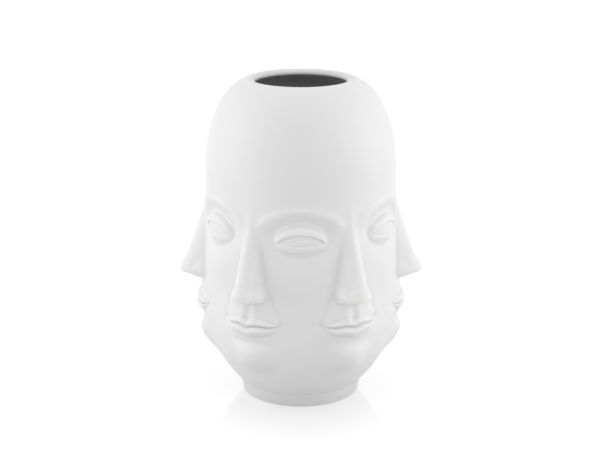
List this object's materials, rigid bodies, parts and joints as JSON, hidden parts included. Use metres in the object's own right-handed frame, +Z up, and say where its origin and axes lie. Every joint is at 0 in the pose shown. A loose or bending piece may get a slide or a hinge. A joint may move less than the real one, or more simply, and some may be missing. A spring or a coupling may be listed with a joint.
{
  "type": "face vase",
  "caption": "Free-standing glazed flower vase: a ring of calm relief faces that share their eyes, under a plain domed crown with a small round mouth.",
  "frame": {"origin": "middle of the foot ring's underside", "axes": "+Z up along the vase's axis, -Y towards the front, where an eye shared by two faces is"},
  "size_m": [0.2056, 0.1808, 0.27],
  "materials": {
    "white_glaze": "smooth satin-matt white glaze",
    "liner_glaze": "smooth clear liner glaze over pale clay",
    "bare_clay": "unglazed fired white clay"
  },
  "bodies": {
    "root": {"foot_ring": "white_glaze", "base": "bare_clay", "bowl": "white_glaze", "mouth_band": "white_glaze", "eye_band": "white_glaze", "shoulder": "white_glaze", "dome": "white_glaze", "mouth_rim": "white_glaze", "inner_glaze": "liner_glaze"}
  },
  "joints": []
}
